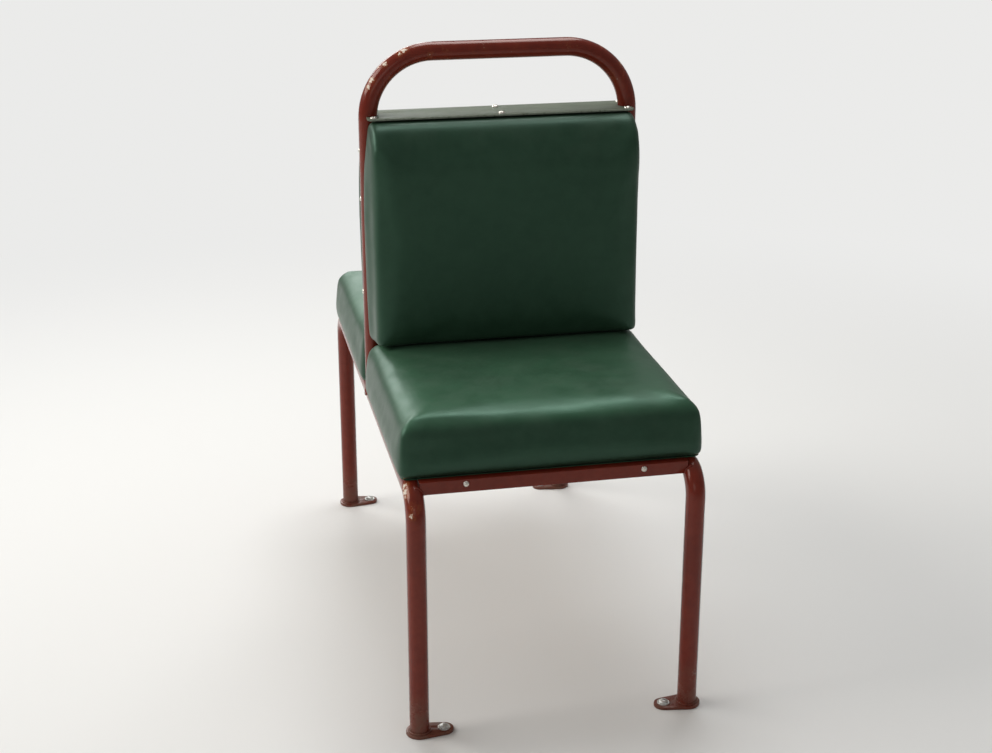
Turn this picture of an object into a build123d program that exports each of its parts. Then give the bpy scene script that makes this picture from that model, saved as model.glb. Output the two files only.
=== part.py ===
from build123d import *
import os

# Passenger seat of an old tram: two places back to back, sharing one padded back, on a frame of bent tube.
# Millimetres. X runs from the aisle to the side wall, Y along the car, Z up. The floor is at Z 0.
# The middle of the back is over the origin. The fore half faces +Y and the aft half faces -Y.

# Steel tube of the leg frames and the hoop
tube_diameter = 30.0
tube_radius = tube_diameter / 2
frame_half_width = 214.0
leg_half_spread = 430.0
leg_bend_radius = 40.0
hoop_bend_radius = 105.0
hoop_top = 985.0

# Steel angles under the seat boards
angle_flat = 30.0
angle_upright = 20.0
angle_thickness = 3.0
front_angle_reach = 416.0
cope_depth = 6.0

# Foot plates
foot_thickness = 5.0
foot_pad_radius = 21.0
foot_tongue_radius = 15.0
foot_bolt_offset = 38.0
foot_bolt_hole = 9.0

# Seats: each is a sprung cushion on a plywood board
seat_height = 502.0
cushion_thickness = 90.0
cushion_width = 472.0
cushion_reach = 407.0
cushion_corner = 20.0
cushion_edge_chamfer = 12.0
hoop_clearance = 2.0

# Back: a wooden core inside the hoop, a pad on each face and a sheet metal cap on top
cap_top = 872.0
cap_length = 436.0
cap_width = 74.0
cap_thickness = 3.0
cap_corner = 8.0
pad_width = 454.0
pad_foot_reach = 88.0
pad_head_reach = 77.0
pad_shoulder_radius = 45.0
pad_side_radius = 14.0
pad_top_gap = 2.0
pad_bottom_gap = 2.0
tube_gap = 0.5

# Boards, and the cover that is pulled over their rim and tacked underneath
board_thickness = 10.0
seat_board_inset = 10.0
back_board_inset = 14.0
cover_hem = 1.0
hem_reach = 25.0

# Heights and depths that follow from the sizes above
rail_top = seat_height - cushion_thickness
rail_axis = rail_top - tube_radius
cap_underside = cap_top - cap_thickness
cushion_rear = tube_radius + hoop_clearance
cushion_length = cushion_reach - cushion_rear
pad_inner = tube_radius + tube_gap
pad_bottom = seat_height + pad_bottom_gap
pad_height = cap_underside - pad_top_gap - pad_bottom
core_bottom = rail_top - angle_upright
core_half_width = frame_half_width - tube_radius - tube_gap

SIDES = {"aisle": -1, "wall": 1}
ENDS = {"aft": -1, "fore": 1}


def tube(points, radius):
    """A tube bent from one length: straight runs joined by tangent arcs. Both of its ends are closed."""
    path = FilletPolyline(*points, radius=radius)
    return sweep(Plane(origin=path @ 0, z_dir=path % 0) * Circle(tube_radius), path=path)


def leg_frame(side):
    """Two legs and the side rail between them."""
    x = side * frame_half_width
    points = [
        (x, -leg_half_spread, foot_thickness),
        (x, -leg_half_spread, rail_axis),
        (x, leg_half_spread, rail_axis),
        (x, leg_half_spread, foot_thickness),
    ]
    return tube(points, leg_bend_radius)


def grab_hoop(leg_frames):
    """The hoop rises from both side rails and passes over the back. Its ends are saddle cut to the rails."""
    top_axis = hoop_top - tube_radius
    foot = rail_axis + tube_radius / 4
    points = [
        (-frame_half_width, 0, foot),
        (-frame_half_width, 0, top_axis),
        (frame_half_width, 0, top_axis),
        (frame_half_width, 0, foot),
    ]
    hoop = tube(points, hoop_bend_radius)
    for frame in leg_frames:
        hoop -= frame
    return hoop


def foot_plate(side, end):
    """A round pad under the leg, drawn out inwards into a tongue with one bolt hole."""
    leg = Vector(side * frame_half_width, end * leg_half_spread)
    bolt = leg - Vector(side * foot_bolt_offset, 0)
    pad = Pos(leg.X, leg.Y) * Circle(foot_pad_radius)
    tongue = Pos(bolt.X, bolt.Y) * Circle(foot_tongue_radius)
    outline = make_hull(pad.edges() + tongue.edges())
    outline -= Pos(bolt.X, bolt.Y) * Circle(foot_bolt_hole / 2)
    return extrude(outline, amount=foot_thickness)


def cross_angle(face_y, inward, leg_frames):
    """An angle between the side rails, its flat leg under a seat board and its ends coped round the tubes."""
    half = frame_half_width - tube_radius + cope_depth
    corners = [
        (0, 0),
        (angle_flat * inward, 0),
        (angle_flat * inward, -angle_thickness),
        (angle_thickness * inward, -angle_thickness),
        (angle_thickness * inward, -angle_upright),
        (0, -angle_upright),
    ]
    section = make_face(Polyline(*corners, close=True))
    plane = Plane(origin=(-half, face_y, rail_top), x_dir=(0, 1, 0), z_dir=(1, 0, 0))
    bar = extrude(plane * section, amount=2 * half)
    for frame in leg_frames:
        bar -= frame
    return bar


def seat_cushion():
    """A sprung cushion, rounded in plan and eased along its top edge. Its rear is at Y 0 and its hem at Z 0."""
    middle = cushion_length / 2
    outline = Pos(0, middle) * RectangleRounded(cushion_width, cushion_length, cushion_corner)
    cover = extrude(outline, amount=cushion_thickness)
    cover = chamfer(cover.edges().group_by(Axis.Z)[-1], cushion_edge_chamfer)
    board_size = (cushion_width - 2 * seat_board_inset, cushion_length - 2 * seat_board_inset)
    board = Pos(0, middle, cover_hem + board_thickness / 2) * Box(*board_size, board_thickness)
    window_size = (cushion_width - 2 * hem_reach, cushion_length - 2 * hem_reach)
    window = Pos(0, middle, cover_hem / 2) * Box(*window_size, cover_hem)
    return cover - board - window, board


def back_pad():
    """A pad drawn in towards its round shoulder. Its flat back is at Y 0 and its foot at Z 0."""
    corners = [
        (0, 0),
        (pad_foot_reach - pad_inner, 0),
        (pad_head_reach - pad_inner, pad_height),
        (0, pad_height),
    ]
    profile = make_face(Polyline(*corners, close=True))
    shoulder = profile.vertices().group_by(Axis.Y)[-1].sort_by(Axis.X)[-1]
    profile = fillet(shoulder, pad_shoulder_radius)
    cover = extrude(Plane.YZ * profile, amount=pad_width / 2, both=True)
    ends = cover.faces().group_by(Axis.X)
    rim = (ends[0] + ends[-1]).edges().filter_by(lambda edge: edge.center().Y > 0)
    cover = fillet(rim, pad_side_radius)
    board_size = (pad_width - 2 * back_board_inset, board_thickness, pad_height - 2 * back_board_inset)
    board = Pos(0, cover_hem + board_thickness / 2, pad_height / 2) * Box(*board_size)
    window_size = (pad_width - 2 * hem_reach, cover_hem, pad_height - 2 * hem_reach)
    window = Pos(0, cover_hem / 2, pad_height / 2) * Box(*window_size)
    return cover - board - window, board


def back_cap():
    """A flat plate over the tops of both pads, notched at each end round the hoop."""
    plate = RectangleRounded(cap_length, cap_width, cap_corner)
    for side in SIDES.values():
        plate -= Pos(side * frame_half_width, 0) * Circle(tube_radius + tube_gap)
    return Pos(0, 0, cap_underside) * extrude(plate, amount=cap_thickness)


def back_core():
    """The wooden board inside the hoop: it carries both pads and stands between the inner angles."""
    height = cap_underside - core_bottom
    return Pos(0, 0, core_bottom + height / 2) * Box(2 * core_half_width, tube_diameter, height)


def write(name, solid):
    export_step(solid, f"parts/{name}.step")


os.makedirs("parts", exist_ok=True)

# Leg frames and the plates they stand on
leg_frames = []
for side_name, side in SIDES.items():
    frame = leg_frame(side)
    write(f"leg_frame_{side_name}", frame)
    leg_frames.append(frame)
    for end_name, end in ENDS.items():
        write(f"foot_plate_{side_name}_{end_name}", foot_plate(side, end))

write("grab_hoop", grab_hoop(leg_frames))

# Angles: name, distance of the upright leg's face from the middle, which way the flat leg points
angles = [
    ("front_angle", front_angle_reach, -1),
    ("inner_angle", tube_radius, 1),
]
for name, reach, inward in angles:
    for end_name, end in ENDS.items():
        write(f"{name}_{end_name}", cross_angle(end * reach, end * inward, leg_frames))

# Upholstery: made once for the fore half, and turned round for the aft half
on_rails = Pos(0, cushion_rear, rail_top)
on_core = Pos(0, pad_inner, pad_bottom)
cushion, seat_board = seat_cushion()
pad, back_board = back_pad()
turns = {"fore": Rot(0, 0, 0), "aft": Rot(0, 0, 180)}
for end_name, turn in turns.items():
    write(f"seat_cushion_{end_name}", turn * on_rails * cushion)
    write(f"seat_board_{end_name}", turn * on_rails * seat_board)
    write(f"back_pad_{end_name}", turn * on_core * pad)
    write(f"back_board_{end_name}", turn * on_core * back_board)

write("back_core", back_core())
write("back_cap", back_cap())
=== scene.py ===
import math

import bmesh
import bpy
from mathutils import Matrix, Vector, noise


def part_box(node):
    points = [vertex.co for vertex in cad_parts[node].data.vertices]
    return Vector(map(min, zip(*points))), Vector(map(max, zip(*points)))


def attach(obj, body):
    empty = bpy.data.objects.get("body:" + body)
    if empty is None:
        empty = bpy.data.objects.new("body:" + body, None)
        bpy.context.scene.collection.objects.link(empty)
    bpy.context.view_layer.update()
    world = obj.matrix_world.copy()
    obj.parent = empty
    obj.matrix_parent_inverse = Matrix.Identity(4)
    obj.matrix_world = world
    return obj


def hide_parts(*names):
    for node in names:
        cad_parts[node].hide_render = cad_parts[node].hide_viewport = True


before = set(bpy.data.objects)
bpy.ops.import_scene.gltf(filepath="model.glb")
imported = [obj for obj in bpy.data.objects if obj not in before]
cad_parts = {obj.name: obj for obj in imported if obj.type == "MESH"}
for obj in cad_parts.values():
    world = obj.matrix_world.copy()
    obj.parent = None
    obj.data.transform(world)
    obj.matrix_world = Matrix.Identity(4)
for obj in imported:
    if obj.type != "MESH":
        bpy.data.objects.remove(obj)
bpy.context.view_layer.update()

# Dressing of the tram seat, in metres, in the frame of its construction.
# X runs from its aisle side to its wall side, and Y from its aft place to its fore one.

MM = 0.001
SIDES = {"aisle": -1, "wall": 1}
ENDS = {"aft": -1, "fore": 1}

# Places and sizes of the construction
hoop_low, hoop_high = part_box("grab_hoop")
_, leg_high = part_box("leg_frame_wall")
_, cap_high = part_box("back_cap")
_, plate_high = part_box("foot_plate_wall_fore")
cushion_low, cushion_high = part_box("seat_cushion_fore")
pad_low, pad_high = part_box("back_pad_fore")
board_low, board_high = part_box("seat_board_fore")
angle_low, angle_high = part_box("front_angle_fore")

tube_radius = (hoop_high.y - hoop_low.y) / 2
hoop_x = hoop_high.x - tube_radius
leg_y = leg_high.y - tube_radius
rail_top = leg_high.z
rail_axis = rail_top - tube_radius
leg_bend_radius = 40 * MM
hoop_bend_radius = 105 * MM
foot_bolt_offset = 38 * MM
hoop_bend_centre = (hoop_x - hoop_bend_radius, hoop_high.z - tube_radius - hoop_bend_radius)


# Shader building

def feed(tree, node, values):
    """Sets the inputs of a node. Each value is a number, a colour or another node's output."""
    for key, value in values.items():
        if isinstance(value, bpy.types.NodeSocket):
            tree.links.new(value, node.inputs[key])
        else:
            node.inputs[key].default_value = value


def add(tree, kind, values=(), **settings):
    """A shader node, with its settings and the values of its inputs."""
    made = tree.nodes.new("ShaderNode" + kind)
    for key, value in settings.items():
        setattr(made, key, value)
    feed(tree, made, dict(values))
    return made


def colour(red, green, blue):
    return (red, green, blue, 1.0)


def math_node(tree, operation, first, second=0.0):
    return add(tree, "Math", {0: first, 1: second}, operation=operation).outputs[0]


def times(tree, first, second):
    return math_node(tree, "MULTIPLY", first, second)


def blend(tree, share, first, second):
    """A mix of two colours."""
    return add(tree, "Mix", {0: share, 6: first, 7: second}, data_type="RGBA").outputs[2]


def remap(tree, value, low, high, to_low=0.0, to_high=1.0, smooth=True):
    kind = "SMOOTHSTEP" if smooth else "LINEAR"
    values = {0: value, 1: low, 2: high, 3: to_low, 4: to_high}
    return add(tree, "MapRange", values, interpolation_type=kind).outputs[0]


def object_place(tree):
    return add(tree, "TexCoord").outputs["Object"]


def parts_of(tree, vector):
    """The X, Y and Z of a place or a direction."""
    return add(tree, "SeparateXYZ", {0: vector}).outputs


def stretched(tree, place, factors):
    """A place scaled by its own factor along each axis, for grain that runs one way."""
    return add(tree, "VectorMath", {0: place, 1: factors}, operation="MULTIPLY").outputs[0]


def noise_value(tree, place, scale, detail=3.0, roughness=0.5, distortion=0.0):
    values = {
        "Vector": place,
        "Scale": scale,
        "Detail": detail,
        "Roughness": roughness,
        "Distortion": distortion,
    }
    return add(tree, "TexNoise", values).outputs["Fac"]


def new_group(name, inputs, outputs):
    """An empty effect that several finishes share, with its named inputs and outputs."""
    group = bpy.data.node_groups.new(name, "ShaderNodeTree")
    for label, kind, value in inputs:
        socket = group.interface.new_socket(label, in_out="INPUT", socket_type="NodeSocket" + kind)
        if value is not None:
            socket.default_value = value
    for label, kind in outputs:
        group.interface.new_socket(label, in_out="OUTPUT", socket_type="NodeSocket" + kind)
    return group, group.nodes.new("NodeGroupInput").outputs, group.nodes.new("NodeGroupOutput").inputs


def place_group(tree, group, values):
    """A shared effect set into a finish, with the values that it has there."""
    made = tree.nodes.new("ShaderNodeGroup")
    made.node_tree = group
    feed(tree, made, values)
    return made.outputs


def dust_effect():
    """Dust and grime: it lies on faces that look up, in soft patches."""
    group, given, result = new_group(
        "dust",
        [("Place", "Vector", None), ("Scale", "Float", 14.0), ("Amount", "Float", 0.3)],
        [("Mask", "Float")],
    )
    patches = noise_value(group, given["Place"], given["Scale"], detail=6.0, roughness=0.65)
    patches = remap(group, patches, 0.38, 0.72)
    normal = add(group, "NewGeometry").outputs["Normal"]
    upward = remap(group, parts_of(group, normal)["Z"], -0.1, 1.0, 0.15, 1.0)
    mask = times(group, times(group, patches, upward), given["Amount"])
    group.links.new(mask, result["Mask"])
    return group


def mottle_effect():
    """Slow and fine unevenness together, around 0.5."""
    group, given, result = new_group(
        "mottle",
        [("Place", "Vector", None), ("Slow", "Float", 6.0), ("Fine", "Float", 60.0)],
        [("Value", "Float")],
    )
    slow = noise_value(group, given["Place"], given["Slow"], detail=4.0)
    fine = noise_value(group, given["Place"], given["Fine"], detail=5.0, roughness=0.6)
    mean = times(group, math_node(group, "ADD", slow, fine), 0.5)
    group.links.new(mean, result["Value"])
    return group


def scratch_effect():
    """Hairline rubbing marks along one direction, as a mask."""
    group, given, result = new_group(
        "scratches",
        [("Place", "Vector", None), ("Stretch", "Vector", (8.0, 900.0, 900.0)), ("Amount", "Float", 0.3)],
        [("Mask", "Float")],
    )
    lines = noise_value(group, stretched(group, given["Place"], given["Stretch"]), 1.0, detail=2.0)
    lines = remap(group, lines, 0.66, 0.74)
    where = remap(group, noise_value(group, given["Place"], 9.0), 0.45, 0.7)
    mask = times(group, times(group, lines, where), given["Amount"])
    group.links.new(mask, result["Mask"])
    return group


DUST = dust_effect()
MOTTLE = mottle_effect()
SCRATCHES = scratch_effect()


def new_finish(name, **plain):
    """A finish with its Principled shader; values that are the same all over sit on the shader itself."""
    finish = bpy.data.materials.new(name)
    finish.use_nodes = True
    tree = finish.node_tree
    shader = tree.nodes["Principled BSDF"]
    for key, value in plain.items():
        shader.inputs[key.replace("_", " ")].default_value = value
    return finish, tree, shader


def bump(tree, shader, height, strength, distance):
    values = {"Height": height, "Strength": strength, "Distance": distance}
    tree.links.new(add(tree, "Bump", values).outputs[0], shader.inputs["Normal"])


# Chips in the enamel: each has its place on a tube, and how far it reaches

def hoop_chip(side, degrees, across, reach):
    """A chip on the outer side of the hoop's bend, at an angle above the horizontal."""
    centre_x, centre_z = hoop_bend_centre
    radius = hoop_bend_radius + math.sqrt(tube_radius**2 - across**2)
    angle = math.radians(degrees)
    place = (side * (centre_x + radius * math.cos(angle)), across, centre_z + radius * math.sin(angle))
    return place, reach


# On the hoop: side, angle above the horizontal, distance across the tube, reach
CHIPS = [hoop_chip(*row) for row in (
    (-1, 67, -7 * MM, 4.6 * MM),
    (-1, 63, -9 * MM, 2.4 * MM),
    (-1, 49, -8 * MM, 3.8 * MM),
    (-1, 44, -3 * MM, 1.9 * MM),
    (-1, 33, -8 * MM, 4.2 * MM),
    (-1, 27, -9 * MM, 3.6 * MM),
    (-1, 22, 4 * MM, 2.4 * MM),
    (-1, 56, 7 * MM, 3.4 * MM),
    (-1, 38, 9 * MM, 2.6 * MM),
    (1, 40, -6 * MM, 2.2 * MM),
    (1, 58, 6 * MM, 2.8 * MM),
)]
# On the leg frames: side, end, X, Y, Z, reach
CHIPS += [((side * x, end * y, z), reach) for side, end, x, y, z, reach in (
    (-1, -1, 227 * MM, 404 * MM, 404 * MM, 4.4 * MM),
    (-1, -1, 228 * MM, 413 * MM, 399 * MM, 5.2 * MM),
    (-1, -1, 226 * MM, 418 * MM, 393 * MM, 3.0 * MM),
    (-1, -1, 221 * MM, 442 * MM, 386 * MM, 4.6 * MM),
    (-1, -1, 212 * MM, 445 * MM, 385 * MM, 3.8 * MM),
    (-1, -1, 223 * MM, 441 * MM, 372 * MM, 2.8 * MM),
    (-1, 1, 227 * MM, 410 * MM, 400 * MM, 4.0 * MM),
    (-1, 1, 224 * MM, 440 * MM, 379 * MM, 3.4 * MM),
    (1, -1, 228 * MM, 409 * MM, 401 * MM, 2.6 * MM),
    (1, 1, 226 * MM, 436 * MM, 384 * MM, 3.2 * MM),
)]


def chip_field(tree, place):
    """How far a point lies outside the nearest chip, with a ragged edge: below 0 the paint is gone."""
    ragged_edge = 3.2 * MM
    field = None
    for centre, reach in CHIPS:
        away = add(tree, "VectorMath", {0: place, 1: centre}, operation="DISTANCE").outputs["Value"]
        away = math_node(tree, "SUBTRACT", away, reach)
        field = away if field is None else math_node(tree, "MINIMUM", field, away)
    ragged = noise_value(tree, place, 330.0, detail=4.0, roughness=0.65)
    ragged = remap(tree, ragged, 0.3, 0.7, -ragged_edge, ragged_edge, smooth=False)
    return math_node(tree, "ADD", field, ragged)


def tube_enamel():
    """Glossy red-brown enamel, brushed on by hand, chipped at the bends and grimy at the feet."""
    deep, bright = colour(0.128, 0.0122, 0.0060), colour(0.166, 0.0172, 0.0080)
    # The first tint below is worn paint where hands hold the hoop, mixed with a painted reflection of orange
    # wood on the hoop's bends
    worn_and_reflected_tint, thinned = colour(0.28, 0.072, 0.018), colour(0.32, 0.095, 0.025)
    primer, steel = colour(0.33, 0.12, 0.05), colour(0.74, 0.66, 0.56)
    speckle, dirt = colour(0.66, 0.5, 0.4), colour(0.13, 0.085, 0.06)
    grip_low, grip_high, grime_top = 0.89, 0.955, 0.10
    finish, tree, shader = new_finish(
        "tube_enamel", Specular_IOR_Level=0.38, Specular_Tint=colour(1.0, 0.72, 0.62), Coat_Roughness=0.1
    )
    place = object_place(tree)
    axes = parts_of(tree, place)
    uneven = place_group(tree, MOTTLE, {"Place": place, "Slow": 5.0, "Fine": 70.0})["Value"]
    rubbed = noise_value(tree, place, 26.0, detail=6.0, roughness=0.7)
    paint = blend(tree, remap(tree, uneven, 0.35, 0.65), deep, bright)

    # Rubbed where hands hold the hoop, with a painted reflection of orange wood in the same orange-brown tint
    # on its bends
    outward = remap(tree, math_node(tree, "ABSOLUTE", axes["X"]), 0.08, 0.13, 0.25, 1.0)
    grasped = times(tree, remap(tree, axes["Z"], grip_low, grip_high), outward)
    wear_and_reflection = times(tree, remap(tree, rubbed, 0.52, 0.66), grasped)
    paint = blend(tree, times(tree, wear_and_reflection, 0.6), paint, worn_and_reflected_tint)

    # Chips: thin paint round them, then primer, then steel
    field = chip_field(tree, place)
    thin = times(tree, remap(tree, field, 9 * MM, 1 * MM), remap(tree, rubbed, 0.36, 0.62))
    undercoat = remap(tree, field, 0.9 * MM, 0.2 * MM)
    bare = remap(tree, field, -0.4 * MM, -1.0 * MM)
    paint = blend(tree, times(tree, thin, 0.5), paint, thinned)
    paint = blend(tree, undercoat, paint, primer)
    paint = blend(tree, bare, paint, steel)

    # Specks on the hoop, grime at the feet and dust all over
    speck = add(tree, "TexVoronoi", {"Vector": place, "Scale": 95.0, "Randomness": 1.0})
    specks = remap(tree, speck.outputs["Distance"], 0.115, 0.085)
    specks = times(tree, specks, times(tree, remap(tree, rubbed, 0.5, 0.6), grasped))
    paint = blend(tree, specks, paint, speckle)
    grime = remap(tree, axes["Z"], grime_top, 0.0)
    grime = times(tree, grime, remap(tree, rubbed, 0.35, 0.7, 0.2, 0.75))
    dust = place_group(tree, DUST, {"Place": place, "Scale": 22.0, "Amount": 0.09})["Mask"]
    paint = blend(tree, math_node(tree, "MAXIMUM", grime, dust), paint, dirt)
    tree.links.new(paint, shader.inputs["Base Color"])

    # Gloss, which goes with the paint, and brush marks
    dull = math_node(tree, "MAXIMUM", undercoat, math_node(tree, "MAXIMUM", grime, wear_and_reflection))
    gloss = math_node(tree, "ADD", remap(tree, uneven, 0.3, 0.7, 0.17, 0.23), times(tree, dull, 0.3))
    tree.links.new(gloss, shader.inputs["Roughness"])
    tree.links.new(remap(tree, undercoat, 0.0, 1.0, 0.14, 0.0), shader.inputs["Coat Weight"])
    skin = noise_value(tree, place, 150.0, detail=1.0)
    runs = noise_value(tree, place, 30.0, detail=1.0)
    relief = math_node(tree, "ADD", times(tree, skin, 0.12), runs)
    relief = math_node(tree, "SUBTRACT", relief, times(tree, undercoat, 0.5))
    bump(tree, shader, relief, 0.2, 0.4 * MM)
    return finish


def cap_paint():
    """Satin grey-green paint, rubbed pale along its edges and hairline scratched along its length."""
    deep, bright = colour(0.104, 0.125, 0.088), colour(0.125, 0.148, 0.105)
    edge_rub, scratched, dusty = colour(0.3, 0.34, 0.28), colour(0.24, 0.28, 0.22), colour(0.21, 0.2, 0.165)
    ragged_edge = 1.4 * MM
    finish, tree, shader = new_finish("cap_paint", Specular_IOR_Level=0.2)
    place = object_place(tree)
    uneven = place_group(tree, MOTTLE, {"Place": place, "Slow": 9.0, "Fine": 120.0})["Value"]
    paint = blend(tree, remap(tree, uneven, 0.35, 0.65), deep, bright)
    across = math_node(tree, "ABSOLUTE", parts_of(tree, place)["Y"])
    ragged = noise_value(tree, place, 160.0, detail=5.0, roughness=0.7)
    edge = math_node(tree, "ADD", across, remap(tree, ragged, 0.3, 0.7, -ragged_edge, ragged_edge))
    edge = remap(tree, edge, cap_high.y - 1.6 * MM, cap_high.y - 0.3 * MM)
    paint = blend(tree, times(tree, edge, 0.6), paint, edge_rub)
    hairlines = {"Place": place, "Stretch": (10.0, 900.0, 900.0), "Amount": 0.25}
    paint = blend(tree, place_group(tree, SCRATCHES, hairlines)["Mask"], paint, scratched)
    dust = place_group(tree, DUST, {"Place": place, "Scale": 30.0, "Amount": 0.16})["Mask"]
    paint = blend(tree, dust, paint, dusty)
    tree.links.new(paint, shader.inputs["Base Color"])
    gloss = math_node(tree, "ADD", remap(tree, uneven, 0.3, 0.7, 0.5, 0.6), times(tree, dust, 0.5))
    tree.links.new(gloss, shader.inputs["Roughness"])
    bump(tree, shader, uneven, 0.1, 0.3 * MM)
    return finish


def leatherette():
    """Dark green upholstery sheet: fine pebbled grain and soft shine, with painted top light that makes the
    tops of the seats paler and greener.
    """
    deep, bright = colour(0.0155, 0.0375, 0.021), colour(0.0205, 0.0495, 0.028)
    painted_top_light, dusty = colour(0.042, 0.118, 0.062), colour(0.13, 0.14, 0.115)
    above_seat, at_seat = 0.56, 0.50
    finish, tree, shader = new_finish(
        "leatherette", Specular_IOR_Level=0.5, Specular_Tint=colour(0.52, 1.0, 0.76), Sheen_Weight=0.02
    )
    place = object_place(tree)
    uneven = place_group(tree, MOTTLE, {"Place": place, "Slow": 4.5, "Fine": 45.0})["Value"]
    dye_and_top_light = blend(tree, remap(tree, uneven, 0.36, 0.64), deep, bright)

    # Painted top light: the upward faces of the seat cushions are made lighter and greener, in noise patches
    normal = add(tree, "NewGeometry").outputs["Normal"]
    upward = remap(tree, parts_of(tree, normal)["Z"], 0.25, 1.0)
    # This noise only spreads the painted top light in patches
    rubbed = noise_value(tree, place, 7.0, detail=5.0, roughness=0.6)
    seat = times(tree, upward, remap(tree, rubbed, 0.3, 0.75, 0.5, 0.85))
    seat = times(tree, seat, remap(tree, parts_of(tree, place)["Z"], above_seat, at_seat))
    dye_and_top_light = blend(tree, seat, dye_and_top_light, painted_top_light)
    dust = place_group(tree, DUST, {"Place": place, "Scale": 18.0, "Amount": 0.1})["Mask"]
    dye_and_top_light = blend(tree, dust, dye_and_top_light, dusty)
    tree.links.new(dye_and_top_light, shader.inputs["Base Color"])

    # Soft shine, and a grain of pebbles with creases between them
    gloss = math_node(tree, "ADD", remap(tree, uneven, 0.3, 0.7, 0.34, 0.46), times(tree, dust, 0.6))
    tree.links.new(gloss, shader.inputs["Roughness"])
    cells = {"Vector": place, "Scale": 850.0, "Randomness": 0.9}
    pebbles = add(tree, "TexVoronoi", cells, feature="SMOOTH_F1").outputs["Distance"]
    creases = noise_value(tree, place, 210.0, detail=4.0, roughness=0.6, distortion=1.2)
    relief = math_node(tree, "ADD", times(tree, pebbles, -0.8), times(tree, creases, 0.9))
    bump(tree, shader, relief, 0.35, 0.22 * MM)
    return finish


def wood(name, along, dark, pale, rings):
    """Bare board: long grain along one axis, with pores and a few dark streaks."""
    dusty = colour(0.2, 0.17, 0.13)
    finish, tree, shader = new_finish(name, Specular_IOR_Level=0.3)
    place = object_place(tree)
    fibres = stretched(tree, place, [1.0 if axis == along else rings for axis in range(3)])
    grain = noise_value(tree, fibres, 5.0, detail=7.0, roughness=0.62, distortion=0.5)
    pores = noise_value(tree, fibres, 40.0, detail=3.0)
    tone = blend(tree, remap(tree, grain, 0.35, 0.68), dark, pale)
    tone = blend(tree, remap(tree, pores, 0.6, 0.75, 0.0, 0.4), tone, dark)
    dust = place_group(tree, DUST, {"Place": place, "Scale": 16.0, "Amount": 0.25})["Mask"]
    tone = blend(tree, dust, tone, dusty)
    tree.links.new(tone, shader.inputs["Base Color"])
    tree.links.new(remap(tree, grain, 0.3, 0.7, 0.55, 0.75), shader.inputs["Roughness"])
    bump(tree, shader, pores, 0.25, 0.4 * MM)
    return finish


def plated_metal(name, bright, dull, gloss):
    """Plated steel with tarnish in soft patches."""
    finish, tree, shader = new_finish(name, Metallic=1.0)
    place = object_place(tree)
    tarnish = noise_value(tree, place, 420.0, detail=5.0, roughness=0.65)
    tree.links.new(blend(tree, remap(tree, tarnish, 0.45, 0.72), bright, dull), shader.inputs["Base Color"])
    tree.links.new(remap(tree, tarnish, 0.3, 0.7, gloss, gloss + 0.22), shader.inputs["Roughness"])
    bump(tree, shader, tarnish, 0.15, 0.1 * MM)
    return finish


ENAMEL = tube_enamel()
CAP_PAINT = cap_paint()
LEATHERETTE = leatherette()
PLYWOOD = wood("plywood", 0, colour(0.27, 0.15, 0.07), colour(0.52, 0.34, 0.18), 26.0)
# The core's softwood is dark brown, so that its end seen in the gap between back pad and cushion stays dark
SOFTWOOD = wood("softwood", 0, colour(0.05, 0.026, 0.014), colour(0.11, 0.062, 0.034), 9.0)
NICKEL = plated_metal("nickel", colour(0.80, 0.77, 0.70), colour(0.42, 0.38, 0.31), 0.2)
ZINC = plated_metal("zinc", colour(0.66, 0.66, 0.64), colour(0.36, 0.33, 0.29), 0.38)
BLUED = plated_metal("blued_steel", colour(0.16, 0.15, 0.14), colour(0.09, 0.07, 0.05), 0.3)


# Mesh building

def new_object(mesh, name, finish):
    piece = bpy.data.objects.new(name, mesh)
    bpy.context.scene.collection.objects.link(piece)
    mesh.materials.clear()
    mesh.materials.append(finish)
    return piece


def finish_piece(bm, name, finish, sharp=None, replaced=()):
    """Turns a finished bmesh into a piece of the seat that rides with its frame."""
    bmesh.ops.recalc_face_normals(bm, faces=bm.faces)
    mesh = bpy.data.meshes.new(name)
    bm.to_mesh(mesh)
    bm.free()
    for polygon in mesh.polygons:
        polygon.use_smooth = True
    if sharp is not None:
        mesh.set_sharp_from_angle(angle=math.radians(sharp))
    piece = new_object(mesh, name, finish)
    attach(piece, "root")
    if replaced:
        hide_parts(*replaced)


def rounded(bm, edges, radius, segments):
    bmesh.ops.bevel(
        bm, geom=edges, offset=radius, segments=segments, profile=0.5, affect="EDGES", material=-1
    )


def eased_copy(node, name, finish, width):
    """The construction's own plate or angle, with its edges broken as a file or the paint leaves them."""
    merged, flat, corner = 0.01 * MM, math.radians(1), math.radians(40)
    bm = bmesh.new()
    bm.from_mesh(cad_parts[node].data)
    bmesh.ops.remove_doubles(bm, verts=bm.verts, dist=merged)
    bmesh.ops.dissolve_limit(bm, angle_limit=flat, verts=bm.verts, edges=bm.edges)
    edges = [edge for edge in bm.edges if edge.is_manifold and edge.calc_face_angle() > corner]
    rounded(bm, edges, radius=width, segments=2)
    finish_piece(bm, name, finish, sharp=30, replaced=(node,))


def move_all(bm, verts, matrix):
    bmesh.ops.transform(bm, matrix=matrix, verts=verts)


def facing(direction):
    """A turn that takes +Z to the given direction."""
    return Vector((0, 0, 1)).rotation_difference(Vector(direction)).to_matrix().to_4x4()


def join_in(target, part):
    """Adds one small mesh to a bigger one and frees it."""
    mesh = bpy.data.meshes.new("part")
    part.to_mesh(mesh)
    part.free()
    target.from_mesh(mesh)
    bpy.data.meshes.remove(mesh)


def spin_round(bm, geometry, steps):
    """Takes a profile right round the Z axis."""
    bmesh.ops.spin(
        bm, geom=geometry, axis=(0, 0, 1), cent=(0, 0, 0), angle=math.tau, steps=steps, use_merge=True
    )


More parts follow.
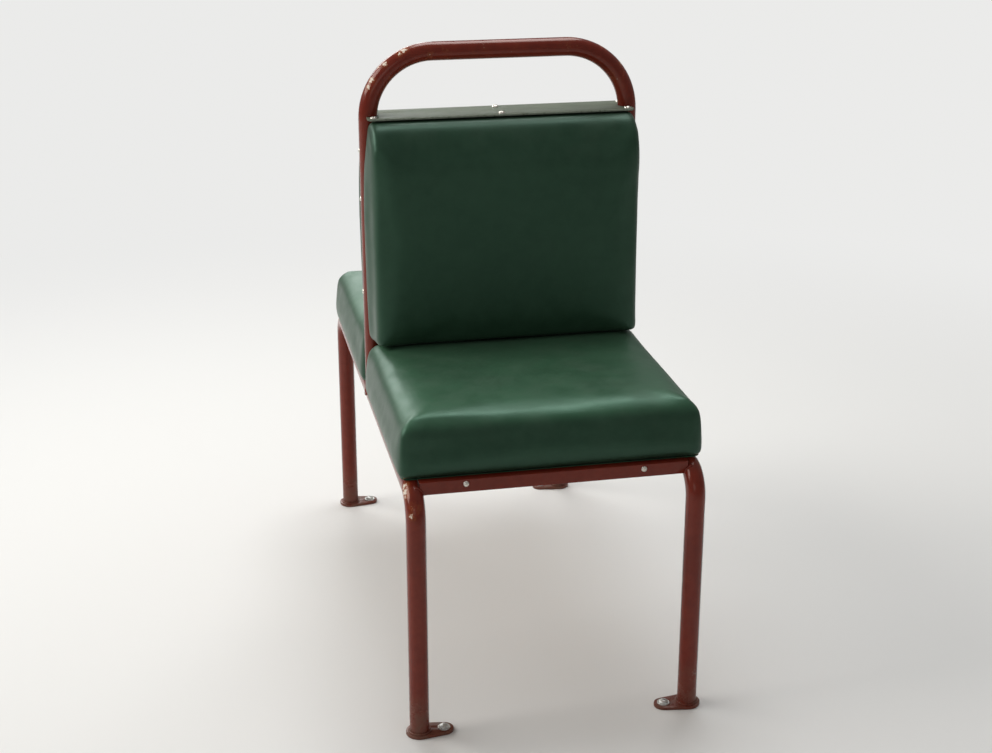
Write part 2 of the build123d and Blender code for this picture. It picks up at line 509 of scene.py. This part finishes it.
def turned(profile, steps):
    """A solid turned on the Z axis from (radius, height) points, the first and last of them on the axis."""
    bm = bmesh.new()
    verts = [bm.verts.new((radius, 0, height)) for radius, height in profile]
    edges = [bm.edges.new(pair) for pair in zip(verts, verts[1:])]
    spin_round(bm, verts + edges, steps)
    bmesh.ops.remove_doubles(bm, verts=bm.verts, dist=0.001 * MM)
    bmesh.ops.recalc_face_normals(bm, faces=bm.faces)
    return bm


def round_head(radius, height, slot_width, slot_turn):
    """A round screw head standing on Z 0, with a straight slot unless the width of that is 0."""
    dome_steps, around, skirt = 7, 24, -0.3 * height
    slot_floor, upward = height * 0.45, 0.05
    turns = [math.radians(90 * step / dome_steps) for step in range(dome_steps + 1)]
    dome = [(radius * math.sin(turn), height * math.cos(turn)) for turn in turns]
    bm = turned([(0, dome[0][1])] + dome[1:] + [(radius, skirt), (0, skirt)], around)
    if slot_width:
        half = slot_width / 2
        for offset in (-half, half):
            geometry = bm.verts[:] + bm.edges[:] + bm.faces[:]
            bmesh.ops.bisect_plane(bm, geom=geometry, plane_co=(offset, 0, 0), plane_no=(1, 0, 0))
        inside = [f for f in bm.faces if abs(f.calc_center_median().x) < half and f.normal.z > upward]
        extruded = bmesh.ops.extrude_face_region(bm, geom=inside)
        bmesh.ops.delete(bm, geom=inside, context="FACES")
        for vert in extruded["geom"]:
            if isinstance(vert, bmesh.types.BMVert):
                vert.co.z = min(vert.co.z, slot_floor)
    move_all(bm, bm.verts, Matrix.Rotation(slot_turn, 4, "Z"))
    return bm


def washer(radius, height):
    edge, around = 0.35 * MM, 28
    profile = [(0, 0), (radius, 0), (radius, height - edge), (radius - edge, height), (0, height)]
    return turned(profile, around)


def weld_bead(centre, ring_radius, bead_radius, ripples, lift=None):
    """A rippled weld bead round an upright tube. Lift raises its points by their angle, as on a saddle."""
    around, section_sides, lump_scale = 72, 8, 300
    ripple_share, lump_share = 0.12, 0.08
    bm = bmesh.new()
    section = bmesh.ops.create_circle(bm, segments=section_sides, radius=bead_radius)["verts"]
    move_all(bm, section, Matrix.Translation((ring_radius, 0, 0)) @ Matrix.Rotation(math.pi / 2, 4, "X"))
    spin_round(bm, bm.verts[:] + bm.edges[:], around)
    for vert in bm.verts:
        angle = math.atan2(vert.co.y, vert.co.x)
        lumps = noise.noise(vert.co * lump_scale)
        swell = 1 + ripple_share * math.sin(angle * ripples) + lump_share * lumps
        flat = Vector((vert.co.x, vert.co.y, 0))
        core = flat.normalized() * ring_radius
        vert.co = core + (vert.co - core) * swell
        if lift is not None:
            vert.co.z += lift(angle)
    move_all(bm, bm.verts, Matrix.Translation(centre))
    return bm


# Upholstery

VOXEL = 5 * MM
SIM_FRAMES = 20

# The cover as cloth, and the pressure that fills it
CLOTH = {
    "quality": 5,
    "mass": 0.25,
    "tension_stiffness": 18,
    "compression_stiffness": 18,
    "shear_stiffness": 8,
    "use_pressure": True,
    "uniform_pressure_force": 4.0,
    "vertex_group_mass": "held",
}


def applied_modifiers(piece):
    """The piece's own mesh, with everything that its modifiers do."""
    graph = bpy.context.evaluated_depsgraph_get()
    mesh = bpy.data.meshes.new_from_object(piece.evaluated_get(graph))
    old = piece.data
    piece.modifiers.clear()
    piece.data = mesh
    bpy.data.meshes.remove(old)


def evened(moves, edges):
    """Each point's move averaged with those of its neighbours."""
    sums = [move.copy() for move in moves]
    counts = [1] * len(moves)
    for edge in edges:
        first, second = edge.vertices
        sums[first] += moves[second]
        sums[second] += moves[first]
        counts[first] += 1
        counts[second] += 1
    return [total / count for total, count in zip(sums, counts)]


def inflate(piece, held, bending):
    """Fills the cover by pressure, as cloth, with its held points kept in place."""
    pins = piece.vertex_groups.new(name="held")
    for vert in piece.data.vertices:
        pins.add([vert.index], held(vert.co), "REPLACE")
    cloth = piece.modifiers.new("stuffing", "CLOTH")
    for key, value in CLOTH.items():
        setattr(cloth.settings, key, value)
    cloth.settings.bending_stiffness = bending
    cloth.settings.effector_weights.gravity = 0
    cloth.collision_settings.use_collision = False
    cloth.point_cache.frame_start = 1
    cloth.point_cache.frame_end = SIM_FRAMES
    for step in range(1, SIM_FRAMES + 1):
        bpy.context.scene.frame_set(step)
    applied_modifiers(piece)
    bpy.context.scene.frame_set(1)
    piece.vertex_groups.clear()


def stuffed(bm, name, held, reach, bending, calm, drawn_in=None):
    """Swells a closed cover. Held says which points are fixed, and reach how far each other one may go."""
    mesh = bpy.data.meshes.new(name)
    bm.to_mesh(mesh)
    bm.free()
    piece = new_object(mesh, name, LEATHERETTE)
    remesh = piece.modifiers.new("even_mesh", "REMESH")
    remesh.mode = "VOXEL"
    remesh.voxel_size = VOXEL
    applied_modifiers(piece)
    if drawn_in is not None:
        for vert in piece.data.vertices:
            vert.co.x *= drawn_in(vert.co.z)
    start = [vert.co.copy() for vert in piece.data.vertices]
    inflate(piece, held, bending)
    swelling = []
    for vert, co in zip(piece.data.vertices, start):
        moved = vert.co - co
        limit = max(0.0, reach(co))
        swelling.append(moved * (limit / moved.length) if moved.length > limit else moved)
    for _ in range(calm):
        swelling = evened(swelling, piece.data.edges)
    for vert, co, moved in zip(piece.data.vertices, start, swelling):
        vert.co = co + moved
    return piece


def smoothed(piece, rounds, more, where):
    """Smooths the whole form, then only the points that the test picks a few times more, and refines it."""
    bm = bmesh.new()
    bm.from_mesh(piece.data)
    for number in range(rounds + more):
        verts = bm.verts if number < rounds else [vert for vert in bm.verts if where(vert.co)]
        bmesh.ops.smooth_vert(bm, verts=verts, factor=0.5, use_axis_x=True, use_axis_y=True, use_axis_z=True)
    bm.to_mesh(piece.data)
    bm.free()
    finer = piece.modifiers.new("finer", "SUBSURF")
    finer.levels = finer.render_levels = 1
    applied_modifiers(piece)


def shaped(piece, change):
    """Moves every point along its normal by what change gives for it."""
    vertices = piece.data.vertices
    moved = [vert.co + vert.normal * change(vert.co) for vert in vertices]
    for vert, co in zip(vertices, moved):
        vert.co = co
    piece.data.update()


def ridge(co, start, end, width):
    """1 on the line from start to end, falling to 0 within about the width, and tapering at both ends."""
    slope, least = 4, 0.15
    line = end - start
    share = max(0.0, min(1.0, (co - start).dot(line) / line.length_squared))
    away = (co - (start + line * share)).length
    taper = min(1.0, slope * share + least, slope * (1 - share) + least)
    return taper * math.exp(-((away / width) ** 2))


def open_underside(piece):
    """Lifts the cushion's underside into its board, so that the bare board shows inside the hem."""
    inset, skin = 4 * MM, 3 * MM
    middle = (board_low.z + board_high.z) / 2
    for vert in piece.data.vertices:
        co = vert.co
        within_x = board_low.x + inset < co.x < board_high.x - inset
        within_y = board_low.y + inset < co.y < board_high.y - inset
        if within_x and within_y and co.z < board_low.z + skin:
            co.z = middle
    piece.data.update()


def upholstered(piece, end_name, replaced, seed, change):
    """A copy of the stuffed form for one half of the seat, with its own slight unevenness."""
    mesh = piece.data.copy()
    mine = new_object(mesh, f"{replaced}_cover", LEATHERETTE)
    shaped(mine, lambda co: change(co, seed))
    if end_name == "aft":
        mesh.transform(Matrix.Rotation(math.pi, 4, "Z"))
    for polygon in mesh.polygons:
        polygon.use_smooth = True
    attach(mine, "root")
    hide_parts(replaced)


def seat_cushion_form():
    """The sprung cushion of the fore half: a box with a crisp lower rim and a soft upper one, swelled."""
    swelling, held_height, full_height, smooth_height = 5 * MM, 12 * MM, 30 * MM, 25 * MM
    low = Vector((cushion_low.x + 2 * MM, cushion_low.y + 1 * MM, cushion_low.z + 0.8 * MM))
    high = Vector((cushion_high.x - 2 * MM, cushion_high.y - 2.5 * MM, cushion_high.z - 1 * MM))
    size, middle = high - low, (high + low) / 2
    bm = bmesh.new()
    bmesh.ops.create_cube(bm, size=1)
    move_all(bm, bm.verts, Matrix.Translation(middle) @ Matrix.Diagonal((*size, 1)))
    upright = [e for e in bm.edges if abs(e.verts[0].co.z - e.verts[1].co.z) > size.z / 2]
    rounded(bm, upright, radius=15 * MM, segments=5)
    top = [e for e in bm.edges if min(v.co.z for v in e.verts) > high.z - 0.1 * MM]
    rounded(bm, top, radius=28 * MM, segments=7)
    bottom = [e for e in bm.edges if max(v.co.z for v in e.verts) < low.z + 0.1 * MM]
    rounded(bm, bottom, radius=3 * MM, segments=2)

    def held(co):
        return 1.0 if co.z < low.z + held_height else 0.0

    def reach(co):
        return swelling * min(1.0, (co.z - low.z) / full_height)

    piece = stuffed(bm, "cushion_form", held, reach, bending=6.0, calm=9)
    smoothed(piece, rounds=2, more=3, where=lambda co: co.z > low.z + smooth_height)
    open_underside(piece)
    return piece


def cushion_unevenness(co, seed):
    """The sag of use, slow waves of the filling and pulled creases at the corners."""
    sag, slow_share, fine_share, roll_height, crease_height = 2.0, 0.5, 0.15, 0.8, 1.4
    sag_width, sag_length = 0.55, 0.3
    if co.z < board_low.z + 8 * MM:
        return 0.0
    across = co.x / cushion_high.x
    along = (co.y - cushion_low.y) / (cushion_high.y - cushion_low.y)
    top = max(0.0, min(1.0, (co.z - cushion_high.z + 20 * MM) / (14 * MM)))
    dip = math.exp(-((across / sag_width) ** 2) - (((along - 0.5) / sag_length) ** 2))
    slow = noise.noise(Vector((co.x * 9 + seed, co.y * 9, co.z * 9)))
    fine = noise.noise(Vector((co.x * 28 - seed, co.y * 28, co.z * 20)))
    edge_x, edge_z = cushion_high.x - 12 * MM, cushion_high.z - 3.5 * MM
    rear, front = cushion_low.y + 20 * MM, cushion_high.y - 14 * MM
    point = Vector((abs(co.x), co.y, co.z))
    roll = ridge(point, Vector((edge_x, rear, edge_z)), Vector((edge_x, front, edge_z)), 4 * MM)
    corner = Vector((cushion_high.x - 8 * MM, cushion_high.y - 10 * MM, cushion_high.z - 7 * MM))
    crease = ridge(point, corner, corner + Vector((3 * MM, 4 * MM, -58 * MM)), 6 * MM)
    waves = slow_share * slow + fine_share * fine
    return (-sag * dip * top + waves + roll_height * roll + crease_height * crease) * MM


def back_pad_form():
    """The pad of the fore face: a wedge with a round shoulder, drawn in towards its head, then swelled."""
    swelling, shoulder_depth, head_inset = 6 * MM, 85 * MM, 0.026
    foot_reach, head_reach = pad_high.y - 1 * MM, pad_high.y - 11 * MM
    bottom, top = pad_low.z - 3 * MM, pad_high.z - 0.5 * MM
    half = pad_high.x - 3 * MM
    back = pad_low.y
    bm = bmesh.new()
    corners = [(back, bottom), (foot_reach, bottom), (head_reach, top), (back, top)]
    end = bm.faces.new([bm.verts.new((-half, y, z)) for y, z in corners])
    moved = bmesh.ops.extrude_face_region(bm, geom=[end])["geom"]
    far_end = [part for part in moved if isinstance(part, bmesh.types.BMVert)]
    bmesh.ops.translate(bm, vec=(2 * half, 0, 0), verts=far_end)
    bmesh.ops.recalc_face_normals(bm, faces=bm.faces)

    def in_front(m):
        return abs(m.x) < MM and m.y > back + 10 * MM

    def round_off(test, radius, segments):
        edges = [e for e in bm.edges if test((e.verts[0].co + e.verts[1].co) / 2)]
        rounded(bm, edges, radius, segments)

    # Shoulder, foot, and the front and rear rims of both sides
    round_off(lambda m: in_front(m) and m.z > top - MM, radius=44 * MM, segments=8)
    round_off(lambda m: in_front(m) and m.z < bottom + MM, radius=8 * MM, segments=3)
    round_off(lambda m: abs(m.x) > half - MM and m.y > back + MM, radius=11 * MM, segments=4)
    round_off(lambda m: abs(m.x) > half - MM and m.y < back + MM, radius=5 * MM, segments=2)

    def held(co):
        return 1.0 if co.y < back + 4 * MM or co.z > top - 2 * MM else 0.0

    def reach(co):
        return swelling * min(1.0, (co.y - back) / (14 * MM), max(0.0, (top - co.z) / (20 * MM)))

    def drawn_in(z):
        share = max(0.0, min(1.0, (z - top + shoulder_depth) / shoulder_depth))
        return 1 - head_inset * share * share * (3 - 2 * share)

    piece = stuffed(bm, "pad_form", held, reach, bending=2.5, calm=5, drawn_in=drawn_in)
    smoothed(piece, rounds=2, more=5, where=lambda co: co.y > back + 20 * MM)
    return piece


# Folds of the pad's cover, in millimetres: start, end, width, height
FOLDS = (
    ((3, 22, 4), (7, 66, 34), 4.5, 2.0),
    ((0, 20, 22), (1, 52, 52), 5, 1.1),
    ((14, 74, 40), (15, 86, 210), 6, 0.8),
)


def on_pad(inside, forward, below):
    """A point at millimetres inside the pad's rim, forward of the seat's middle and below the pad's head."""
    return Vector((pad_high.x - inside * MM, forward * MM, pad_high.z - below * MM))


def pad_unevenness(co, seed):
    """Folds that run from under the cap to the rim, a pull line inside each side, and slow waves."""
    slow_share, fine_share, usual_fold, fold_spread = 0.45, 0.15, 0.85, 0.3
    side = 1 if co.x > 0 else -1
    point = Vector((abs(co.x), co.y, co.z))
    lifted = 0
    for start, end, width, height in FOLDS:
        lifted += height * ridge(point, on_pad(*start), on_pad(*end), width * MM)
    lifted *= usual_fold + fold_spread * noise.noise(Vector((side * 3.1, seed, 0.5)))
    slow = noise.noise(Vector((co.x * 8 + seed, co.y * 8, co.z * 8 - seed)))
    fine = noise.noise(Vector((co.x * 25, co.y * 25 + seed, co.z * 18)))
    return (lifted + slow_share * slow + fine_share * fine) * MM


def make_upholstery():
    cushion = seat_cushion_form()
    pad = back_pad_form()
    for number, end_name in enumerate(ENDS):
        cushion_seed, pad_seed = 1.7 + 5.3 * number, 4.1 + 3.9 * number
        name = f"seat_cushion_{end_name}"
        upholstered(cushion, end_name, name, cushion_seed, cushion_unevenness)
        name = f"back_pad_{end_name}"
        upholstered(pad, end_name, name, pad_seed, pad_unevenness)
    for form in (cushion, pad):
        bpy.data.objects.remove(form)


# Metalwork and fittings

def dress_frame():
    """The bent tubes and the boards keep the construction's own form; plates and angles get broken edges."""
    finishes = {
        "leg_frame": ENAMEL,
        "grab_hoop": ENAMEL,
        "seat_board": PLYWOOD,
        "back_board": PLYWOOD,
        "back_core": SOFTWOOD,
    }
    for name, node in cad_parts.items():
        for start, finish in finishes.items():
            if name.startswith(start):
                node.data.materials.clear()
                node.data.materials.append(finish)
        if name.startswith(("foot_plate", "front_angle", "inner_angle")):
            eased_copy(name, f"{name}_eased", ENAMEL, 0.6 * MM)
    eased_copy("back_cap", "back_cap_plate", CAP_PAINT, 0.7 * MM)


def bead_along(points, radius, seed):
    """A lumpy weld bead laid along a row of points."""
    sides, rough_scale = 8, 400
    ripple_share, ripple_turn, rough_share = 0.18, 1.9, 0.1
    bm = bmesh.new()
    rings = []
    for number, point in enumerate(points):
        before, after = points[max(0, number - 1)], points[min(len(points) - 1, number + 1)]
        rough = noise.noise(point * rough_scale + Vector((seed, 0, 0)))
        lump = radius * (1 + ripple_share * math.sin(number * ripple_turn) + rough_share * rough)
        ring = bmesh.ops.create_circle(bm, segments=sides, radius=lump)["verts"]
        move_all(bm, ring, Matrix.Translation(point) @ facing(after - before))
        rings.append(list(dict.fromkeys(edge for vert in ring for edge in vert.link_edges)))
    for first, second in zip(rings, rings[1:]):
        bmesh.ops.bridge_loops(bm, edges=first + second)
    bmesh.ops.holes_fill(bm, edges=bm.edges, sides=sides)
    return bm


def tube_distance(point):
    """How far a point is from the axis of a leg frame, of which it lies in the wall-side, fore quarter."""
    straight_y, straight_z = leg_y - leg_bend_radius, rail_axis - leg_bend_radius
    from_bend = Vector((point.y - straight_y, point.z - straight_z))
    if from_bend.x < 0:
        drop = point.z - rail_axis
    elif from_bend.y < 0:
        drop = point.y - leg_y
    else:
        drop = from_bend.length - leg_bend_radius
    return math.hypot(point.x - hoop_x, drop)


def angle_end(face_y, z_low, z_high):
    """The line where an angle's upright leg meets the tube, in the wall-side, fore quarter."""
    steps = 12
    points = []
    for step in range(steps + 1):
        z = z_low + (z_high - z_low) * step / steps
        reach = tube_radius**2 - (tube_distance(Vector((hoop_x, face_y, z)))) ** 2
        if reach > 0:
            points.append(Vector((hoop_x - math.sqrt(reach), face_y, z)))
    return points


def saddle(angle):
    """How far the rim of the saddle cut stands above its lowest points."""
    return tube_radius * abs(math.sin(angle))


def make_welds():
    """Beads where the angles, the hoop and the foot plates meet the tubes."""
    angle_bead, hoop_bead, foot_bead = 1.7 * MM, 2.2 * MM, 2.0 * MM
    hoop_ripples, foot_ripples = 34, 31
    clear, bead_start, bead_end = 0.4 * MM, 0.5 * MM, 13 * MM
    beads = bmesh.new()
    inner_low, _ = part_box("inner_angle_fore")
    faces = ((angle_high.y + clear, angle_low.z), (inner_low.y - clear, inner_low.z))
    for number, (face_y, z_low) in enumerate(faces):
        points = angle_end(face_y, z_low + bead_start, z_low + bead_end)
        for side in SIDES.values():
            for end in ENDS.values():
                placed = [Vector((side * co.x, end * co.y, co.z)) for co in points]
                join_in(beads, bead_along(placed, angle_bead, 2.0 * side + end + number))
    for side in SIDES.values():
        crossing = (side * hoop_x, 0, rail_axis)
        join_in(beads, weld_bead(crossing, tube_radius + 0.5 * MM, hoop_bead, hoop_ripples, saddle))
        for end in ENDS.values():
            foot = (side * hoop_x, end * leg_y, plate_high.z + 0.6 * MM)
            join_in(beads, weld_bead(foot, tube_radius + 0.8 * MM, foot_bead, foot_ripples))
    finish_piece(beads, "weld_beads", ENAMEL)


# Round heads: radius, height, width of the slot
CAP_HEAD = (5.6 * MM, 3.2 * MM, 1.3 * MM)
HOOP_HEAD = (4.2 * MM, 2.4 * MM, 1.1 * MM)
ANGLE_HEAD = (4.6 * MM, 2.8 * MM, 1.2 * MM)
BOLT_HEAD = (7.5 * MM, 4.6 * MM, 1.8 * MM)
TACK_HEAD = (3.0 * MM, 1.1 * MM, 0)


def drive_in(heads, head, place, direction, slot_turn=0.0):
    """Adds a round head that stands at a place and looks in a direction."""
    part = round_head(*head, slot_turn)
    move_all(part, part.verts, Matrix.Translation(place) @ facing(direction))
    join_in(heads, part)


def make_screws():
    """Round-head screws: six in the cap, three in each leg of the hoop, two in each front angle."""
    cap_screws_x, cap_screw_y = (-208 * MM, -1 * MM, 208 * MM), 26.5 * MM
    hoop_screws_z, sunk = (579 * MM, 736 * MM, 815 * MM), 0.7 * MM
    angle_screw_x, angle_screw_z = 136 * MM, rail_top - 7 * MM
    heads = bmesh.new()
    for row, x in enumerate(cap_screws_x):
        for end in ENDS.values():
            place = (x, end * cap_screw_y, cap_high.z)
            drive_in(heads, CAP_HEAD, place, (0, 0, 1), 0.5 + 1.1 * row + 0.7 * end)
    for side in SIDES.values():
        for number, z in enumerate(hoop_screws_z):
            place = (side * (hoop_x + tube_radius - sunk), 0, z)
            drive_in(heads, HOOP_HEAD, place, (side, 0, 0), 0.4 + 1.3 * number)
        for end in ENDS.values():
            place = (side * angle_screw_x, end * angle_high.y, angle_screw_z)
            drive_in(heads, ANGLE_HEAD, place, (0, end, 0), 0.9 * side + end)
    finish_piece(heads, "round_head_screws", NICKEL, sharp=45)


def make_floor_bolts():
    """A round-head coach screw on a washer through the tongue of each foot plate."""
    washer_radius, washer_height = 9.8 * MM, 1.5 * MM
    bolts = bmesh.new()
    for number, side in enumerate(SIDES.values()):
        for end in ENDS.values():
            bolt = round_head(*BOLT_HEAD, 0.35 + number + 0.5 * end)
            move_all(bolt, bolt.verts, Matrix.Translation((0, 0, washer_height)))
            join_in(bolt, washer(washer_radius, washer_height))
            place = (side * (hoop_x - foot_bolt_offset), end * leg_y, plate_high.z)
            move_all(bolt, bolt.verts, Matrix.Translation(place))
            join_in(bolts, bolt)
    finish_piece(bolts, "floor_bolts", ZINC, sharp=45)


# Hem under each cushion, and the ring of tacks that holds it
hem_low = Vector((board_low.x - 4 * MM, board_low.y - 4 * MM, rail_top))
hem_high = Vector((board_high.x + 4 * MM, board_high.y + 4 * MM, rail_top))
hem_reach, hem_thickness, hem_corner = 50 * MM, 0.7 * MM, 14 * MM
tack_inset, tack_spacing = 42 * MM, 42 * MM


def hem_inset(co):
    """How far a point lies inside the hem's outer edge."""
    return min(co.x - hem_low.x, hem_high.x - co.x, co.y - hem_low.y, hem_high.y - co.y)


def make_hem(end_name, end):
    """The cover turned over the board's rim: a ring with rounded corners, gathered to a wavy edge."""
    cells_x, cells_y, edge_share, near_edge = 118, 97, 0.97, 2 * MM
    gather_height, clear, pull_reach = 0.55, 0.15 * MM, 2.5 * MM
    size, middle = hem_high - hem_low, (hem_high + hem_low) / 2
    inner_x = hem_high.x - hem_reach
    bm = bmesh.new()
    bmesh.ops.create_grid(bm, x_segments=cells_x, y_segments=cells_y, size=0.5)
    move_all(bm, bm.verts, Matrix.Translation(middle) @ Matrix.Diagonal((size.x, size.y, 1, 1)))
    inner = [face for face in bm.faces if hem_inset(face.calc_center_median()) > hem_reach]
    bmesh.ops.delete(bm, geom=inner, context="FACES")
    for vert in bm.verts:
        corner = Vector((max(0.0, abs(vert.co.x) - hem_high.x + hem_corner), 0, 0))
        corner.y = max(0.0, abs(vert.co.y - middle.y) - size.y / 2 + hem_corner)
        if corner.length > hem_corner:
            over = corner * (1 - hem_corner / corner.length)
            vert.co.x -= math.copysign(over.x, vert.co.x)
            vert.co.y -= math.copysign(over.y, vert.co.y - middle.y)
        share = hem_inset(vert.co) / hem_reach
        gather = noise.noise(Vector((vert.co.x * 60, vert.co.y * 60, end * 3)))
        vert.co.z += (gather_height * share * gather) * MM + clear
        if share > edge_share:
            pull = noise.noise(Vector((vert.co.x * 22, vert.co.y * 22, 7 + end))) * pull_reach
            if abs(abs(vert.co.x) - inner_x) <= near_edge:
                vert.co.x += pull
            if abs(vert.co.x) <= inner_x - near_edge:
                vert.co.y += pull
    bmesh.ops.solidify(bm, geom=bm.faces[:], thickness=hem_thickness)
    if end < 0:
        move_all(bm, bm.verts, Matrix.Rotation(math.pi, 4, "Z"))
    finish_piece(bm, f"hem_{end_name}", LEATHERETTE)


def make_tacks():
    """Tacks at even distances along a ring inside each hem."""
    tacks = bmesh.new()
    ring_low = hem_low + Vector((tack_inset, tack_inset, 0))
    ring_high = hem_high - Vector((tack_inset, tack_inset, 0))
    across = max(2, round((ring_high.x - ring_low.x) / tack_spacing))
    along = max(2, round((ring_high.y - ring_low.y) / tack_spacing))
    places = []
    for step in range(across + 1):
        x = ring_low.x + (ring_high.x - ring_low.x) * step / across
        places += [(x, ring_low.y), (x, ring_high.y)]
    for step in range(1, along):
        y = ring_low.y + (ring_high.y - ring_low.y) * step / along
        places += [(ring_low.x, y), (ring_high.x, y)]
    for end in ENDS.values():
        for x, y in places:
            drive_in(tacks, TACK_HEAD, (x, end * y, rail_top - 0.2 * MM), (0, 0, -1))
    finish_piece(tacks, "hem_tacks", BLUED)


def make_hems():
    for end_name, end in ENDS.items():
        make_hem(end_name, end)
    make_tacks()


# Stage, light and camera

BACKDROP = colour(0.83, 0.83, 0.82)
FLOOR = colour(0.80, 0.79, 0.77)

# Share of the backdrop that lights the seat, and that shows in glossy reflections
AMBIENT = 0.32
REFLECTED = 0.26

# Lamps: name, place, target, width, height, watts, tint
LAMPS = (
    ("far_light", (-1.2, 5.4, 3.0), (0, 0, 0.7), 4.0, 2.0, 120, (0.97, 1.0, 0.99)),
    ("aisle_light", (-4.1, 0.9, 3.0), (0, 0, 0.5), 3.6, 2.4, 150, (1.0, 0.98, 0.95)),
    ("top_light", (0.3, 0.9, 3.1), (0, 0, 0.5), 1.6, 1.6, 45, (0.98, 0.99, 1.0)),
    ("near_fill", (-1.4, -3.4, 1.6), (0, 0, 0.5), 1.6, 1.2, 5, (1.0, 0.97, 0.94)),
)


def make_stage():
    """A plain pale floor that fades into the backdrop away from the seat."""
    radius, fade_start, fade_end = 40, 0.7, 2.6
    bm = bmesh.new()
    bmesh.ops.create_circle(bm, cap_ends=True, segments=96, radius=radius)
    mesh = bpy.data.meshes.new("floor")
    bm.to_mesh(mesh)
    bm.free()
    finish, tree, shader = new_finish(
        "floor_paint", Base_Color=FLOOR, Roughness=0.85, Specular_IOR_Level=0.2
    )
    away = add(tree, "VectorMath", {0: object_place(tree)}, operation="LENGTH").outputs["Value"]
    fade = remap(tree, away, fade_start, fade_end)
    seen = add(tree, "LightPath").outputs["Is Camera Ray"]
    glow = add(tree, "Emission", {"Color": BACKDROP, "Strength": 1.0}).outputs[0]
    mixed = add(tree, "MixShader", {0: times(tree, fade, seen), 1: shader.outputs[0], 2: glow}).outputs[0]

    # Clear from below, so that the seat's underside can be seen
    below = add(tree, "NewGeometry").outputs["Backfacing"]
    clear = add(tree, "BsdfTransparent").outputs[0]
    mixed = add(tree, "MixShader", {0: below, 1: mixed, 2: clear}).outputs[0]
    tree.links.new(mixed, tree.nodes["Material Output"].inputs["Surface"])
    floor = new_object(mesh, "floor", finish)


def make_world():
    """Even light from all round, with the pale backdrop seen by the camera and in reflections."""
    world = bpy.data.worlds.new("studio")
    bpy.context.scene.world = world
    world.use_nodes = True
    tree = world.node_tree
    path = add(tree, "LightPath").outputs
    seen = math_node(tree, "MAXIMUM", path["Is Camera Ray"], path["Is Transmission Ray"])
    strength = math_node(tree, "MAXIMUM", seen, times(tree, path["Is Glossy Ray"], REFLECTED))
    strength = math_node(tree, "MAXIMUM", strength, AMBIENT)
    background = tree.nodes["Background"]
    background.inputs["Color"].default_value = BACKDROP
    tree.links.new(strength, background.inputs["Strength"])


def make_lamp(name, place, target, width, height, power, tint):
    lamp = bpy.data.lights.new(name, "AREA")
    lamp.shape = "RECTANGLE"
    lamp.size, lamp.size_y, lamp.energy, lamp.color = width, height, power, tint
    holder = bpy.data.objects.new(name, lamp)
    bpy.context.scene.collection.objects.link(holder)
    holder.location = place
    holder.rotation_mode = "QUATERNION"
    holder.rotation_quaternion = (Vector(target) - Vector(place)).to_track_quat("-Z", "Y")


def make_camera():
    """At eye height, off the aisle side of the aft place."""
    eye = Vector((-0.548, -2.62, 1.408))
    target = Vector((-0.005, 0.0, 0.412))
    camera = bpy.data.cameras.new("camera")
    camera.lens = 60.5
    camera.clip_end = 200
    holder = bpy.data.objects.new("camera", camera)
    bpy.context.scene.collection.objects.link(holder)
    holder.location = eye
    holder.rotation_mode = "QUATERNION"
    holder.rotation_quaternion = (target - eye).to_track_quat("-Z", "Y")
    bpy.context.scene.camera = holder


dress_frame()
make_welds()
make_screws()
make_floor_bolts()
make_upholstery()
make_hems()

make_stage()
make_world()
for row in LAMPS:
    make_lamp(*row)
make_camera()
bpy.context.scene.view_settings.view_transform = "Standard"
